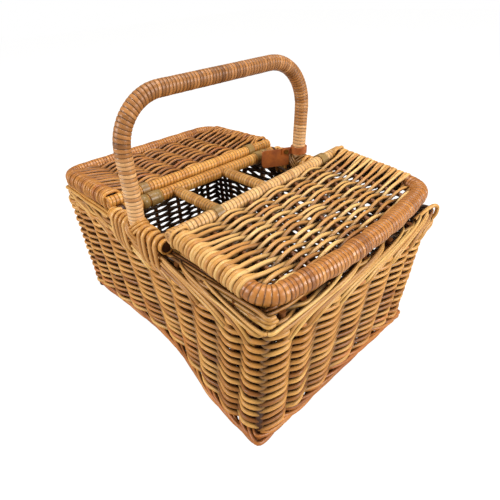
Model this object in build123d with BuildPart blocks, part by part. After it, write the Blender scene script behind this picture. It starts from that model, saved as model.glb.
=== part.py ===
from build123d import *
import os
from math import cos, radians, sin

os.makedirs("parts", exist_ok=True)

# Wicker picnic hamper with a fixed hoop handle, two hinged lids and three bottle cells.
# Millimetres. X runs along the hamper, Y across it, Z up, with Z = 0 on the floor.

# Heights of the basket
foot_z = 6.0
foot_mid_z = 12.0
weave_z = 17.0
weave_top_z = 190.0
rim_mid_z = 198.0
rim_z = 206.0

# Middle surface of the walls at the foot and at the rim
long_wall_foot_waist = 140.0
long_wall_foot_left_hip = 151.5
long_wall_foot_right_hip = 168.0
long_wall_waist_x = 10.0
long_wall_left_hip_x = 206.0
long_wall_right_hip_x = 178.0
long_wall_rim = 165.0
long_wall_rim_drop = 4.0
end_wall_foot = 222.0
end_wall_foot_turn = -2.5
end_wall_rim = 238.0
end_wall_rim_drop = 5.0
corner_x = 221.0
corner_y = 150.0

# Stakes: half of each row at the foot, and how far the rows spread up to the rim
long_stakes = [28.0, 80.0, 127.0, 176.0, 206.0]
end_stakes = [0.0, 56.0, 106.0, 136.0]
long_spread = 0.065
end_spread = 0.035
stake_d = 8.0
stake_foot_z = 9.0
stake_top_z = 202.0

# Offsets of the wall faces from the middle surface: over a stake, between stakes, at a corner
wall_out = (10.0, 3.6, 4.5)
wall_in = (-10.0, -3.6, -8.5)
foot_edge_out = (6.0, 5.0, 3.0)
foot_edge_in = (-6.0, -5.0, -6.0)
foot_mid_out = (9.5, 8.5, 5.5)
foot_mid_in = (-9.5, -8.5, -9.0)
foot_top_out = (8.0, 7.0, 4.5)
foot_top_in = (-8.0, -7.0, -8.0)
rim_foot_out = (7.0, 6.5, 4.5)
rim_foot_in = (-7.0, -6.5, -7.0)
rim_mid_out = (9.0, 8.5, 6.0)
rim_mid_in = (-9.0, -8.5, -9.0)
rim_top_out = (6.0, 5.5, 3.5)
rim_top_in = (-6.0, -5.5, -6.0)
base_edge = (-5.0, -4.0, -5.0)

# Mitre line between two walls, through this point at 45 degrees
mitre_x = 231.0
mitre_y = 165.5
mitre_out = 40.0
mitre_in = 110.0

# Corner feet
knob_d = 16.0
knob_edge_r = 2.0
peg_d = 10.0
peg_offset = -3.5
peg_top_z = 60.0

# Base
base_z = 8.0
base_stick_d = 6.0
base_stick_z = 12.5
base_sticks = 9
base_stick_pitch = 29.0
base_stick_half = 202.0

# Rails on the long walls
rail_y = 164.0
rail_z = 216.0
rail_half = 66.0
rail_core_d = 17.0
rail_wrap_d = 20.0
bare_end = 1.5

# Canes that loop over the rails; the outer ones end at the cell bars
loop_xs = [-50.5, -39.5, -29.0, -19.0, 19.5, 29.5, 44.0, 56.0]
loop_w = 7.0
loop_t = 3.2
loop_outer_foot_z = 178.0
loop_inner_foot_z = 190.0
loop_inner_limit_x = 40.0

# Handle hoop
hoop_straight_z = 250.0
hoop_top_z = 385.0
hoop_top_y = 168.5
hoop_bend_rs = (52.0, 62.0, 78.0, 52.0)
hoop_core_d = 17.0
hoop_wrap_d = 22.0
tenon_d = 7.0
tenon_foot_z = 193.0
tenon_top_z = 235.0

# Crossed lashing at each foot of the hoop: tilt and inner half axes of each band
lash_bands = [(-45.0, 17.9, 11.3), (45.0, 18.0, 13.2)]
lash_t = 1.6
lash_w = 4.0

# Bars of the bottle cells between the lids
bar_x = 55.0
bar_z = 221.0
bar_half = 161.0
bar_core_d = 16.0
bar_wrap_d = 19.0
cross_ys = {"front": -62.7, "back": 36.8}
cross_core_d = 14.0
cross_wrap_d = 17.0

# Lids: middle of the hinge axis and end of the outer edge in (x, z), the slope of the hinge
# axis towards the back in degrees, and how far the outer edge bows out
hinge_xz = {"left": (-76.0, 229.0), "right": (77.5, 241.5)}
outer_xz = {"left": (-236.5, 225.5), "right": (224.0, 224.7)}
lid_tilt = {"left": 0.0, "right": 2.65}
lid_bow = {"left": 0.0, "right": 12.6}
lid_bow_v = 60.0
lid_bow_r = 500.0
lid_side_y = 156.0
lid_corner_r = 24.0
lid_rod_d = 16.0
lid_wrap_d = 23.0
lid_side_wrap_d = 28.0
lid_wrap_lead = 6.0
lid_side_start = 10.0
lid_weave_w = 8.2
lid_valley_w = 2.6
lid_stake_d = 6.0
lid_stake_pitch = 40.0
lid_stakes = 7
hinge_core_d = 15.4
hinge_wrap_d = 18.4
hinge_half = 166.0

# Cane loops that carry the lids on the cell bars
hinge_loop_ys = {"left": {"front": -105.0, "back": 117.0}, "right": {"front": -90.0, "back": 121.0}}
hinge_play = 0.3
hinge_loop_t = 1.4
hinge_loop_w = 12.0
hinge_web = 5.0
notch_w = 16.0
notch_r = 12.5

# Leather tag on the back leg of the hoop; its rest direction is seen from above
tag_angle = 240.0
tag_t = 2.4
tag_play = 0.35
strap_z = 231.2
strap_h = 11.0
strap_reach = 28.0
tag_start = 17.0
tag_l = 48.0
tag_foot_z = 210.0
tag_h = 30.0
tag_corner_r = 5.0
stud_reach = 23.0
stud_z = 235.5
stud_hole_d = 3.0
stud_head_d = 8.0
stud_head_h = 1.6

walls = ("front", "back", "left", "right")
long_walls = ("front", "back")
ends = {"left": -1.0, "right": 1.0}
sides = {"front": -1.0, "back": 1.0}


def finish(piece, name):
    """Label a finished piece and write its STEP file."""
    piece.part.label = name
    export_step(piece.part, f"parts/{name}.step")


def smooth(t):
    """Ease from 0 to 1."""
    t = min(max(t, 0.0), 1.0)
    return t * t * (3.0 - 2.0 * t)


def level(z):
    """Height as a fraction of the way from the foot to the rim."""
    return (z - foot_z) / (rim_z - foot_z)


def long_wall_y(x, z):
    """Middle surface of the front wall: waisted at the foot, almost straight at the rim."""
    hip = long_wall_foot_right_hip if x > 0 else long_wall_foot_left_hip
    hip_x = long_wall_right_hip_x if x > 0 else long_wall_left_hip_x
    ease = smooth((abs(x) - long_wall_waist_x) / (hip_x - long_wall_waist_x))
    foot = long_wall_foot_waist + (hip - long_wall_foot_waist) * ease
    rim = long_wall_rim - long_wall_rim_drop * (x / corner_x) ** 2
    return foot + (rim - foot) * level(z)


def end_wall_x(y, z):
    """Middle surface of the right wall, leaning out to the rim."""
    foot = end_wall_foot + end_wall_foot_turn * y / corner_y
    rim = end_wall_rim - end_wall_rim_drop * (y / corner_y) ** 2
    return foot + (rim - foot) * level(z)


def corner_point(side, z, offset):
    """Corner at the left or right end of the front wall."""
    sign = ends[side]
    return (sign * (end_wall_x(-sign * corner_y, z) + offset), -long_wall_y(sign * corner_x, z) - offset)


def mirrored(half):
    """A symmetric row of places from its half."""
    return sorted({-v for v in half} | set(half))


def front_point(x_foot, z, offset):
    """Point of the front wall over a place at the foot."""
    x = x_foot * (1.0 + long_spread * level(z))
    return (x, -long_wall_y(x, z) - offset)


def right_point(y_foot, z, offset):
    """Point of the right wall over a place at the foot."""
    y = y_foot * (1.0 + end_spread * level(z))
    return (end_wall_x(y, z) + offset, y)


def wall_points(places, point, z, at_stake, between):
    """Points along one wall, stake and valley in turn."""
    points = [point(places[0], z, at_stake)]
    for a, b in zip(places, places[1:]):
        points.append(point((a + b) / 2, z, between))
        points.append(point(b, z, at_stake))
    return points


def outline(z, offsets):
    """Closed outline of the walls at a height, one arc over each stake."""
    at_stake, between, corner = offsets
    half = [corner_point("left", z, corner)]
    half += wall_points(mirrored(long_stakes), front_point, z, at_stake, between)
    half.append(corner_point("right", z, corner))
    half += wall_points(mirrored(end_stakes), right_point, z, at_stake, between)
    loop = half + [(-x, -y) for x, y in half] + [half[0]]
    for i in range(0, len(loop) - 2, 2):
        ThreePointArc(loop[i], loop[i + 1], loop[i + 2])


def ring(sections):
    """Closed band round the basket from (z, outer offsets, inner offsets) sections."""
    with BuildPart() as band:
        for z, outer, _ in sections:
            with BuildSketch(Plane.XY.offset(z)):
                with BuildLine():
                    outline(z, outer)
                make_face()
        loft(ruled=True)
        for z, _, inner in sections:
            with BuildSketch(Plane.XY.offset(z)):
                with BuildLine():
                    outline(z, inner)
                make_face()
        loft(ruled=True, mode=Mode.SUBTRACT)
    return band


def wedge(side):
    """Ground plan of the quarter that belongs to one wall, with its mitred ends."""
    far_x, far_y = mitre_x + mitre_out, mitre_y + mitre_out
    near_x, near_y = mitre_x - mitre_in, mitre_y - mitre_in
    if side in long_walls:
        plan = [(-far_x, far_y), (far_x, far_y), (near_x, near_y), (-near_x, near_y)]
    else:
        plan = [(far_x, far_y), (far_x, -far_y), (near_x, -near_y), (near_x, near_y)]
    sign = -1.0 if side in ("front", "left") else 1.0
    return [(x * sign, y * sign) for x, y in plan]


def stake_lines(side):
    """Foot and top point of each stake in one wall."""
    places = mirrored(long_stakes if side in long_walls else end_stakes)
    point = front_point if side in long_walls else right_point
    sign = -1.0 if side in ("back", "left") else 1.0
    lines = []
    for place in places:
        foot_x, foot_y = point(place, stake_foot_z, 0.0)
        top_x, top_y = point(place, stake_top_z, 0.0)
        foot = Vector(foot_x * sign, foot_y * sign, stake_foot_z)
        top = Vector(top_x * sign, top_y * sign, stake_top_z)
        lines.append((foot, top))
    return lines


def peg_lines():
    """Foot and top point of each corner peg."""
    lines = []
    for end in ends:
        foot = Vector(*corner_point(end, foot_z, peg_offset), foot_z)
        top = Vector(*corner_point(end, peg_top_z, peg_offset), peg_top_z)
        lines.append((foot, top))
        lines.append((Vector(-foot.X, -foot.Y, foot_z), Vector(-top.X, -top.Y, peg_top_z)))
    return lines


def rods(lines, diameter, mode=Mode.ADD):
    """Round rods between pairs of points."""
    for start, end in lines:
        run = end - start
        with Locations(Plane(origin=start, z_dir=run)):
            Cylinder(diameter / 2, run.length, align=(Align.CENTER, Align.CENTER, Align.MIN), mode=mode)


def bar(start, end, diameter, mode=Mode.ADD):
    """One round bar between two points."""
    rods([(Vector(*start), Vector(*end))], diameter, mode)


def rail(side, diameter, half, mode=Mode.ADD):
    """Bar or bore along one rail."""
    y = sides[side] * rail_y
    bar((-half, y, rail_z), (half, y, rail_z), diameter, mode)


def tenons(diameter, mode=Mode.ADD):
    """The pins under the two feet of the hoop."""
    for sign in sides.values():
        bar((0, sign * rail_y, tenon_foot_z), (0, sign * rail_y, tenon_top_z), diameter, mode)


# Stakes of the four walls
for side in walls:
    with BuildPart() as stakes:
        rods(stake_lines(side), stake_d)
    finish(stakes, f"stakes_{side}")

# Corner feet: a turned knob under the border and a peg up into the corner
with BuildPart() as corner_feet:
    for foot, _ in peg_lines():
        with Locations((foot.X, foot.Y, 0)):
            Cylinder(knob_d / 2, foot_z, align=(Align.CENTER, Align.CENTER, Align.MIN))
    fillet(corner_feet.edges().group_by(Axis.Z)[0], knob_edge_r)
    rods(peg_lines(), peg_d)
finish(corner_feet, "corner_feet")

# Foot border
foot_band = ring([
    (foot_z, foot_edge_out, foot_edge_in),
    (foot_mid_z, foot_mid_out, foot_mid_in),
    (weave_z, foot_top_out, foot_top_in),
])
with BuildPart() as foot_border:
    add(foot_band.part)
    for side in walls:
        rods(stake_lines(side), stake_d, Mode.SUBTRACT)
    rods(peg_lines(), peg_d, Mode.SUBTRACT)
finish(foot_border, "foot_border")

# Base sticks and the weave round them
stick_lines = []
for i in range(base_sticks):
    y = (i - (base_sticks - 1) / 2) * base_stick_pitch
    stick_lines.append((Vector(-base_stick_half, y, base_stick_z), Vector(base_stick_half, y, base_stick_z)))
with BuildPart() as base_rods:
    rods(stick_lines, base_stick_d)
finish(base_rods, "base_sticks")

with BuildPart() as base_weave:
    with BuildSketch(Plane.XY.offset(base_z)):
        with BuildLine():
            outline(foot_mid_z, base_edge)
        make_face()
    extrude(amount=weave_z - base_z)
    add(foot_band.part, mode=Mode.SUBTRACT)
    rods(stick_lines, base_stick_d, Mode.SUBTRACT)
finish(base_weave, "base_weave")

# Woven walls
wall_band = ring([(weave_z, wall_out, wall_in), (weave_top_z, wall_out, wall_in)])
for side in walls:
    with BuildPart() as weave:
        add(wall_band.part)
        with BuildSketch():
            Polygon(*wedge(side), align=None)
        extrude(amount=rim_z, mode=Mode.INTERSECT)
        rods(stake_lines(side), stake_d, Mode.SUBTRACT)
        rods(peg_lines(), peg_d, Mode.SUBTRACT)
    finish(weave, f"weave_{side}")


def cross_lash(side, mode=Mode.ADD):
    """Two elliptical bands crossed over a foot of the hoop, one over the other."""
    for tilt, inner_a, inner_b in lash_bands:
        slope = Plane(origin=(0, sides[side] * rail_y, rail_z)).rotated((0, tilt, 0))
        with BuildSketch(slope.offset(-lash_w / 2), mode=Mode.PRIVATE) as band:
            Ellipse(inner_a + lash_t, inner_b + lash_t)
            Ellipse(inner_a, inner_b, mode=Mode.SUBTRACT)
        extrude(band.sketch, amount=lash_w, mode=mode)


# Rim border
rim_band = ring([
    (weave_top_z, rim_foot_out, rim_foot_in),
    (rim_mid_z, rim_mid_out, rim_mid_in),
    (rim_z, rim_top_out, rim_top_in),
])
for side in walls:
    with BuildPart() as rim:
        add(rim_band.part)
        with BuildSketch():
            Polygon(*wedge(side), align=None)
        extrude(amount=rim_z + rim_z, mode=Mode.INTERSECT)
        rods(stake_lines(side), stake_d, Mode.SUBTRACT)
        if side in long_walls:
            tenons(tenon_d, Mode.SUBTRACT)
            cross_lash(side, Mode.SUBTRACT)
    finish(rim, f"rim_border_{side}")

# Rails, their wraps, the canes over them and the lashings of the hoop
for side in long_walls:
    sign = sides[side]
    with BuildPart() as rail_core:
        rail(side, rail_core_d, rail_half)
        tenons(tenon_d, Mode.SUBTRACT)
    finish(rail_core, f"rail_{side}")

    with BuildPart() as rail_wrap:
        rail(side, rail_wrap_d, rail_half - bare_end)
        rail(side, rail_core_d, rail_half, Mode.SUBTRACT)
        tenons(tenon_d, Mode.SUBTRACT)
    finish(rail_wrap, f"rail_wrap_{side}")

    with BuildPart() as loops:
        inner_r = rail_wrap_d / 2
        outer_r = inner_r + loop_t
        leg_r = inner_r + loop_t / 2
        for x in loop_xs:
            with BuildSketch(Plane.YZ.offset(x - loop_w / 2)):
                with Locations((sign * rail_y, rail_z)):
                    Circle(outer_r)
                    Circle(inner_r, mode=Mode.SUBTRACT)
                    Rectangle(2 * outer_r, outer_r, align=(Align.CENTER, Align.MAX), mode=Mode.SUBTRACT)
                with Locations((sign * (rail_y + leg_r), rail_z)):
                    Rectangle(loop_t, rail_z - loop_outer_foot_z, align=(Align.CENTER, Align.MAX))
                if abs(x) < loop_inner_limit_x:
                    with Locations((sign * (rail_y - leg_r), rail_z)):
                        Rectangle(loop_t, rail_z - loop_inner_foot_z, align=(Align.CENTER, Align.MAX))
        extrude(amount=loop_w)
        for x in (-bar_x, bar_x):
            bar((x, -rail_y, bar_z), (x, rail_y, bar_z), bar_wrap_d, Mode.SUBTRACT)
    finish(loops, f"rail_loops_{side}")

    with BuildPart() as lashing:
        cross_lash(side)
    finish(lashing, f"handle_lashing_{side}")

# Handle hoop: a bent rod with a pin at each foot, and its cane wrap
with BuildPart() as hoop:
    with BuildLine(Plane.YZ) as hoop_path:
        FilletPolyline(
            (-rail_y, rail_z),
            (-rail_y, hoop_straight_z),
            (-hoop_top_y, hoop_top_z),
            (hoop_top_y, hoop_top_z),
            (rail_y, hoop_straight_z),
            (rail_y, rail_z),
            radius=hoop_bend_rs,
        )
    with BuildSketch(Plane(origin=hoop_path.line @ 0, z_dir=hoop_path.line % 0)):
        Circle(hoop_core_d / 2)
    sweep()
    for side in long_walls:
        rail(side, rail_wrap_d, rail_half, Mode.SUBTRACT)
    tenons(tenon_d)
finish(hoop, "handle_core")

with BuildPart() as hoop_wrap:
    with BuildSketch(Plane(origin=hoop_path.line @ 0, z_dir=hoop_path.line % 0)):
        Circle(hoop_wrap_d / 2)
        Circle(hoop_core_d / 2, mode=Mode.SUBTRACT)
    sweep(path=hoop_path.line)
    for side in long_walls:
        rail(side, rail_wrap_d, rail_half, Mode.SUBTRACT)
finish(hoop_wrap, "handle_wrap")

# Cell bars from rail to rail and the cross bars between them
for end, sign in ends.items():
    x = sign * bar_x
    with BuildPart() as cell_bar:
        bar((x, -bar_half, bar_z), (x, bar_half, bar_z), bar_core_d)
        for side in long_walls:
            rail(side, rail_wrap_d, rail_half, Mode.SUBTRACT)
    finish(cell_bar, f"divider_bar_{end}")

    with BuildPart() as cell_wrap:
        bar((x, -bar_half, bar_z), (x, bar_half, bar_z), bar_wrap_d)
        bar((x, -bar_half, bar_z), (x, bar_half, bar_z), bar_core_d, Mode.SUBTRACT)
        for side in long_walls:
            rail(side, rail_wrap_d, rail_half, Mode.SUBTRACT)
    finish(cell_wrap, f"divider_wrap_{end}")

for side, y in cross_ys.items():
    with BuildPart() as cross_bar:
        bar((-bar_x, y, bar_z), (bar_x, y, bar_z), cross_core_d)
        for x in (-bar_x, bar_x):
            bar((x, -bar_half, bar_z), (x, bar_half, bar_z), bar_wrap_d, Mode.SUBTRACT)
    finish(cross_bar, f"cross_bar_{side}")

    with BuildPart() as cross_wrap:
        bar((-bar_x, y, bar_z), (bar_x, y, bar_z), cross_wrap_d)
        bar((-bar_x, y, bar_z), (bar_x, y, bar_z), cross_core_d, Mode.SUBTRACT)
        for x in (-bar_x, bar_x):
            bar((x, -bar_half, bar_z), (x, bar_half, bar_z), bar_wrap_d, Mode.SUBTRACT)
    finish(cross_wrap, f"cross_wrap_{side}")


def lid_plane(end):
    """Plane of a lid: X from the hinge axis to the outer edge, Y along the hinge axis."""
    hinge_x, hinge_z = hinge_xz[end]
    outer_x, outer_z = outer_xz[end]
    turn = radians(lid_tilt[end])
    along = Vector(0, ends[end] * cos(turn), ends[end] * sin(turn))
    normal = Vector(outer_x - hinge_x, 0, outer_z - hinge_z).cross(along)
    return Plane(origin=(hinge_x, 0, hinge_z), x_dir=along.cross(normal), z_dir=normal)


def lid_reach(end):
    """Distance from the hinge axis to the outer edge."""
    return Vector(outer_xz[end][0] - hinge_xz[end][0], outer_xz[end][1] - hinge_xz[end][1]).length


def hinge_run(end, low, high):
    """Two points on the hinge axis of a lid."""
    plane = lid_plane(end)
    return [(plane.from_local_coords((0, low, 0)), plane.from_local_coords((0, high, 0)))]


def hinge_notches(end):
    """Cut the room for the hinge loops out of a lid piece."""
    for y in hinge_loop_ys[end].values():
        v = ends[end] * y
        rods(hinge_run(end, v - notch_w / 2, v + notch_w / 2), 2 * notch_r, Mode.SUBTRACT)


def lid_corners(end):
    """Corners of a lid's plan in its own plane, and the radius at each one between its ends."""
    reach = lid_reach(end)
    bow = lid_bow[end]
    corners = [(0, -lid_side_y), (reach, -lid_side_y)]
    radii = [lid_corner_r]
    if bow > 0:
        corners += [(reach + bow, -lid_bow_v), (reach + bow, lid_bow_v)]
        radii += [lid_bow_r, lid_bow_r]
    corners += [(reach, lid_side_y), (0, lid_side_y)]
    radii += [lid_corner_r]
    return corners, radii


def lid_rod(end, diameter):
    """Swept rod round the lid, from the hinge axis along both sides and the outer edge."""
    plane = lid_plane(end)
    corners, radii = lid_corners(end)
    points = [plane.from_local_coords((u, v, 0)) for u, v in corners]
    with BuildPart() as rod:
        with BuildLine() as path:
            FilletPolyline(*points, radius=radii)
        with BuildSketch(Plane(origin=points[0], z_dir=plane.x_dir)):
            Circle(diameter / 2)
        sweep(path=path.line)
    return rod


def lid_outline_u(end, v):
    """Reach of the lid at a place along the hinge axis."""
    flank = (lid_side_y - abs(v)) / (lid_side_y - lid_bow_v)
    return lid_reach(end) + lid_bow[end] * min(1.0, flank)


def lid_weave_profile(heights):
    """One face of a lid's weave across the lid, an arc over each stake."""
    half = lid_stake_pitch / 2
    first = -lid_stakes * half
    at_stake, valley = heights
    Line((-lid_side_y, valley), (first, valley))
    for i in range(lid_stakes):
        v = first + i * lid_stake_pitch
        ThreePointArc((v, valley), (v + half, at_stake), (v + lid_stake_pitch, valley))
    Line((-first, valley), (lid_side_y, valley))


def lid_weave_slab(end):
    """Woven middle of a lid within its rounded plan."""
    plane = lid_plane(end)
    corners, radii = lid_corners(end)
    with BuildPart() as slab:
        for u in (-lid_corner_r, lid_reach(end) + lid_bow[end] + lid_corner_r):
            origin = plane.from_local_coords((u, 0, 0))
            with BuildSketch(Plane(origin=origin, x_dir=plane.y_dir, z_dir=plane.x_dir)):
                with BuildLine():
                    lid_weave_profile((lid_weave_w, lid_valley_w))
                    lid_weave_profile((-lid_weave_w, -lid_valley_w))
                    for v in (-lid_side_y, lid_side_y):
                        Line((v, -lid_valley_w), (v, lid_valley_w))
                make_face()
        loft(ruled=True)
        with BuildSketch(plane.offset(-lid_wrap_d)):
            with BuildLine():
                FilletPolyline(*corners, radius=radii)
                Line(corners[-1], corners[0])
            make_face()
        extrude(amount=2 * lid_wrap_d, mode=Mode.INTERSECT)
    return slab


# Hinge loops: a strap round a cell bar and the lid bar above it
for end, sign in ends.items():
    plane = lid_plane(end)
    hinge_line = hinge_run(end, -hinge_half, hinge_half)
    for side, y in hinge_loop_ys[end].items():
        lid_r = hinge_wrap_d / 2 + hinge_play
        cell_r = bar_wrap_d / 2
        near, far = hinge_run(end, sign * y - hinge_loop_w / 2, sign * y + hinge_loop_w / 2)[0]
        cell = Vector(sign * bar_x, (near.Y + far.Y) / 2, bar_z)
        run = (near + far) / 2 - cell
        with BuildPart() as hinge_loop:
            rods([(near, far)], 2 * (lid_r + hinge_loop_t))
            with Locations(Plane(origin=cell, x_dir=(1, 0, 0), z_dir=(0, 1, 0))):
                Cylinder(cell_r + hinge_loop_t, hinge_loop_w)
            with Locations(Plane(origin=cell + run / 2, x_dir=run, z_dir=(0, 1, 0))):
                Box(run.length, hinge_web, hinge_loop_w)
            rods(hinge_line, 2 * lid_r, Mode.SUBTRACT)
            bar((sign * bar_x, -bar_half, bar_z), (sign * bar_x, bar_half, bar_z), bar_wrap_d, Mode.SUBTRACT)
        finish(hinge_loop, f"hinge_loop_{end}_{side}")

# Lids
for end, sign in ends.items():
    plane = lid_plane(end)
    reach = lid_reach(end)
    wrap_u = reach - lid_corner_r - lid_wrap_lead
    bare = hinge_half - bare_end
    hinge_line = hinge_run(end, -hinge_half, hinge_half)
    wrap_line = hinge_run(end, -bare, bare)
    side_lines = []
    for v in (-lid_side_y, lid_side_y):
        start = plane.from_local_coords((lid_side_start, v, 0))
        side_lines.append((start, plane.from_local_coords((wrap_u, v, 0))))
    stake_ends = []
    for i in range(lid_stakes):
        v = (i - (lid_stakes - 1) / 2) * lid_stake_pitch
        stake_ends.append((
            plane.from_local_coords((0, v, 0)),
            plane.from_local_coords((lid_outline_u(end, v), v, 0)),
        ))
    full_frame = lid_rod(end, lid_rod_d)
    with BuildPart() as full_edge:
        add(lid_rod(end, lid_wrap_d).part)
        with BuildSketch(plane.offset(-lid_side_y)):
            Rectangle(wrap_u, 4 * lid_side_y, align=(Align.MIN, Align.CENTER))
            Rectangle(lid_side_wrap_d, 4 * lid_side_y, align=(Align.MAX, Align.CENTER))
        extrude(amount=2 * lid_side_y, mode=Mode.SUBTRACT)

    with BuildPart() as hinge_bar:
        rods(hinge_line, hinge_core_d)
    finish(hinge_bar, f"hinge_bar_{end}")

    with BuildPart() as hinge_wrap:
        rods(wrap_line, hinge_wrap_d)
        rods(hinge_line, hinge_core_d, Mode.SUBTRACT)
    finish(hinge_wrap, f"hinge_wrap_{end}")

    with BuildPart() as frame:
        add(full_frame.part)
        rods(hinge_line, hinge_wrap_d, Mode.SUBTRACT)
    finish(frame, f"lid_frame_{end}")

    with BuildPart() as edge_wrap:
        add(full_edge.part)
        add(full_frame.part, mode=Mode.SUBTRACT)
    finish(edge_wrap, f"lid_edge_wrap_{end}")

    with BuildPart() as lid_rods:
        rods(stake_ends, lid_stake_d)
        rods(hinge_line, hinge_wrap_d, Mode.SUBTRACT)
        hinge_notches(end)
        add(full_edge.part, mode=Mode.SUBTRACT)
    finish(lid_rods, f"lid_stakes_{end}")

    with BuildPart() as lid_weave:
        add(lid_weave_slab(end).part)
        rods(side_lines, lid_side_wrap_d)
        add(full_edge.part, mode=Mode.SUBTRACT)
        add(full_frame.part, mode=Mode.SUBTRACT)
        rods(stake_ends, lid_stake_d, Mode.SUBTRACT)
        rods(hinge_line, hinge_wrap_d, Mode.SUBTRACT)
        hinge_notches(end)
    finish(lid_weave, f"lid_weave_{end}")

# Leather tag: a strap round the back leg of the hoop, the plate and the stud through both
turn = radians(tag_angle)
tag_plane = Plane(origin=(0, rail_y, 0), x_dir=(cos(turn), sin(turn), 0), z_dir=(sin(turn), -cos(turn), 0))
strap_r = hoop_wrap_d / 2 + tag_play

with BuildPart() as tag_plate:
    with BuildSketch(tag_plane):
        with Locations((tag_start + tag_l / 2, tag_foot_z + tag_h / 2)):
            RectangleRounded(tag_l, tag_h, tag_corner_r)
        with Locations((stud_reach, stud_z)):
            Circle(stud_hole_d / 2, mode=Mode.SUBTRACT)
    extrude(amount=tag_t)
finish(tag_plate, "tag_plate")

with BuildPart() as tag_strap:
    with BuildSketch(Plane.XY.offset(strap_z)):
        with Locations((0, rail_y)):
            Circle(strap_r + tag_t)
            Circle(strap_r, mode=Mode.SUBTRACT)
    extrude(amount=strap_h)
    with BuildSketch(tag_plane):
        with Locations((strap_r + tag_t / 2, strap_z)):
            Rectangle(strap_reach - strap_r, strap_h, align=Align.MIN)
        with Locations((stud_reach, stud_z)):
            Circle(stud_hole_d / 2, mode=Mode.SUBTRACT)
    extrude(amount=-tag_t)
finish(tag_strap, "tag_strap")

with BuildPart() as tag_stud:
    with BuildSketch(tag_plane.offset(-tag_t)):
        with Locations((stud_reach, stud_z)):
            Circle(stud_hole_d / 2)
    extrude(amount=2 * tag_t)
    for foot in (-tag_t - stud_head_h, tag_t):
        with BuildSketch(tag_plane.offset(foot)):
            with Locations((stud_reach, stud_z)):
                Circle(stud_head_d / 2)
        extrude(amount=stud_head_h)
finish(tag_stud, "tag_stud")
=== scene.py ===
"""Looks of the wicker picnic hamper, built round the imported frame.

The basket's own lengths are in millimetres. Floor, lamps and grain are in metres.
"""
from math import cos, pi, radians, sin

import bpy
import numpy as np
from mathutils import Matrix, Vector


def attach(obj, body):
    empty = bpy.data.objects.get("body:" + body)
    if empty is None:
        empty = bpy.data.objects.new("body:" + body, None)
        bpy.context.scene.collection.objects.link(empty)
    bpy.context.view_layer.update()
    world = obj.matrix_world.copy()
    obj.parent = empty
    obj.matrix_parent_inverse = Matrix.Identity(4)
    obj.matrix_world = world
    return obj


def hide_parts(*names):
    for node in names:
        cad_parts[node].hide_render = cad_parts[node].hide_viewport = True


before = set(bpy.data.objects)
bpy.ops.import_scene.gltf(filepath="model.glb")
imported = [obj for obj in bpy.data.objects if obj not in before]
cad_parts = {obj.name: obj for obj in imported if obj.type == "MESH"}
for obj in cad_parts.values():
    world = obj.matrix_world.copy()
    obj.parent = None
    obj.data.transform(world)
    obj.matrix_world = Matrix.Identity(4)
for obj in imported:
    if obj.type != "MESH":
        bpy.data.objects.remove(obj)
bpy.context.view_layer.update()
rng = np.random.default_rng(20)
MM = 0.001
UP = (0, 0, 1)

# ---- camera
EYE = (446.581, -392.188, 488.937)
YAW, PITCH, ROLL = radians(51.38935), radians(-32.34652), radians(-4.07448)
FOCAL_PX, IMAGE_PX = 419.492, 500.0
PRINCIPAL = (214.998, 247.542)
SENSOR = 36.0

camera = bpy.data.objects.new("camera", bpy.data.cameras.new("camera"))
bpy.context.scene.collection.objects.link(camera)
forward = Vector((-sin(YAW) * cos(PITCH), cos(YAW) * cos(PITCH), sin(PITCH)))
level_right = forward.cross(Vector((0, 0, 1))).normalized()
level_up = level_right.cross(forward)
right = level_right * cos(ROLL) + level_up * sin(ROLL)
up = level_up * cos(ROLL) - level_right * sin(ROLL)
turn = Matrix((right, up, -forward)).transposed()
camera.matrix_world = Matrix.Translation(Vector(EYE) * MM) @ turn.to_4x4()
camera.data.sensor_width = SENSOR
camera.data.lens = FOCAL_PX / IMAGE_PX * SENSOR
camera.data.shift_x = 0.5 - PRINCIPAL[0] / IMAGE_PX
camera.data.shift_y = PRINCIPAL[1] / IMAGE_PX - 0.5
camera.data.clip_start = 0.01
bpy.context.scene.camera = camera
bpy.context.scene.view_settings.view_transform = "Standard"

# ---- shape of the basket
FOOT_Z, RIM_Z = 6.0, 206.0
WEAVE_Z, WEAVE_TOP_Z = 17.0, 190.0
# Places of the stakes at the foot, for half a wall, and the share by which they spread at the rim.
LONG_STAKES, LONG_SPREAD = [28.0, 80.0, 127.0, 176.0, 206.0], 0.065
END_STAKES, END_SPREAD = [0.0, 56.0, 106.0, 136.0], 0.035
CORNER_X, CORNER_Y = 221.0, 150.0
# A long wall's foot is hollow in the middle and reaches out to a hip, (y, x), near each corner.
HOLLOW_Y, HOLLOW_X = 140.0, 10.0
RIGHT_HIP, LEFT_HIP = (168.0, 178.0), (151.5, 206.0)
LONG_RIM_Y, LONG_RIM_BOW = 165.0, 4.0
END_FOOT_X, END_FOOT_SKEW = 222.0, 2.5
END_RIM_X, END_RIM_BOW = 238.0, 5.0


def smooth(t):
    """Ease from 0 to 1."""
    t = min(max(t, 0.0), 1.0)
    return t * t * (3.0 - 2.0 * t)


def level(z):
    """Height as a fraction of the way from the foot to the rim."""
    return (z - FOOT_Z) / (RIM_Z - FOOT_Z)


def long_wall_y(x, z):
    """How far the middle surface of the front wall stands in front of the basket's centre."""
    hip, hip_x = RIGHT_HIP if x > 0 else LEFT_HIP
    foot = HOLLOW_Y + (hip - HOLLOW_Y) * smooth((abs(x) - HOLLOW_X) / (hip_x - HOLLOW_X))
    rim = LONG_RIM_Y - LONG_RIM_BOW * (x / CORNER_X) ** 2
    return foot + (rim - foot) * level(z)


def end_wall_x(y, z):
    """How far the middle surface of the right wall stands to the right of the centre."""
    foot = END_FOOT_X - END_FOOT_SKEW * y / CORNER_Y
    rim = END_RIM_X - END_RIM_BOW * (y / CORNER_Y) ** 2
    return foot + (rim - foot) * level(z)


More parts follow.
